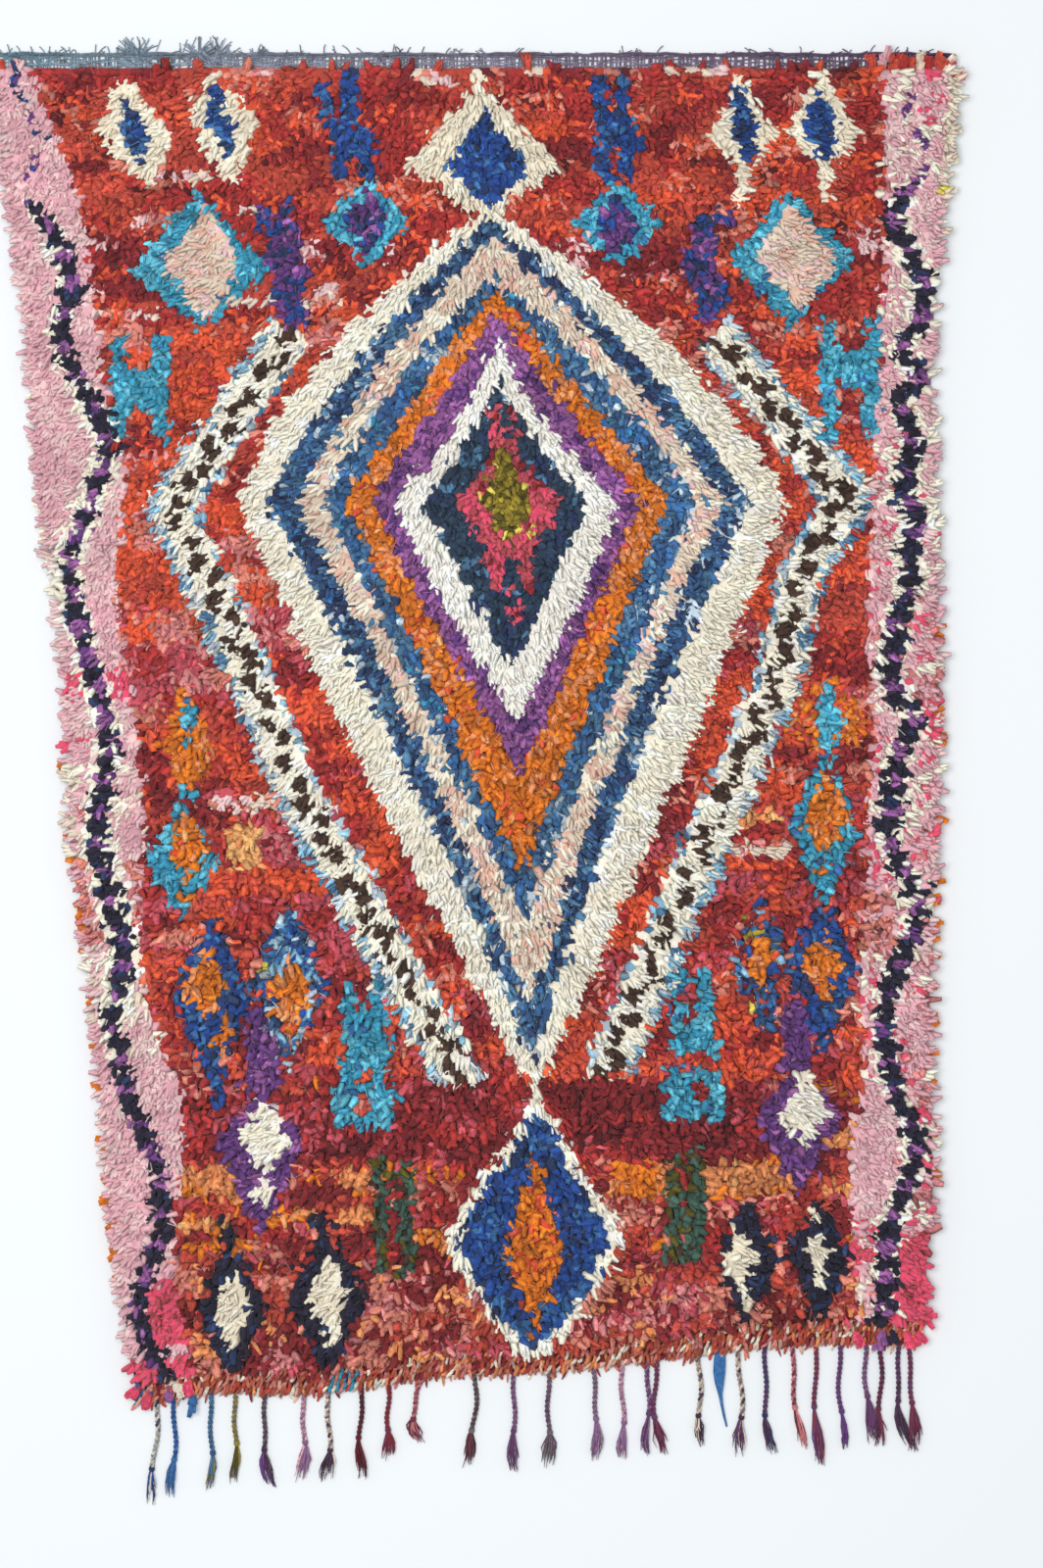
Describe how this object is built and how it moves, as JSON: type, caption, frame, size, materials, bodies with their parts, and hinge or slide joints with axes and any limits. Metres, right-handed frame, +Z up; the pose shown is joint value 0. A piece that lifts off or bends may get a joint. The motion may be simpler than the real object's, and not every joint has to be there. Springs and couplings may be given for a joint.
{
  "type": "boucherouite rug",
  "caption": "Flat hand-knotted rag-pile rug with lozenge motifs, shaggy side rims, a bare open-woven heading, a twined rag end band and a braided warp fringe.",
  "frame": {"origin": "on the floor, under the middle of the rug's whole reach", "axes": "+X across the rug, +Y along it towards the bare woven end, +Z up out of the pile"},
  "size_m": [1.602, 2.3919, 0.0337],
  "materials": {
    "rag_pile": "matt cotton and wool rag locks",
    "bare_weave": "matt spun thread, open ladder weave",
    "twined_rag": "matt twisted rag strip",
    "warp_fringe": "matt braided thread"
  },
  "bodies": {
    "root": {"rug_pile": "rag_pile", "heading": "bare_weave", "end_band": "twined_rag", "fringe": "warp_fringe"}
  },
  "joints": []
}
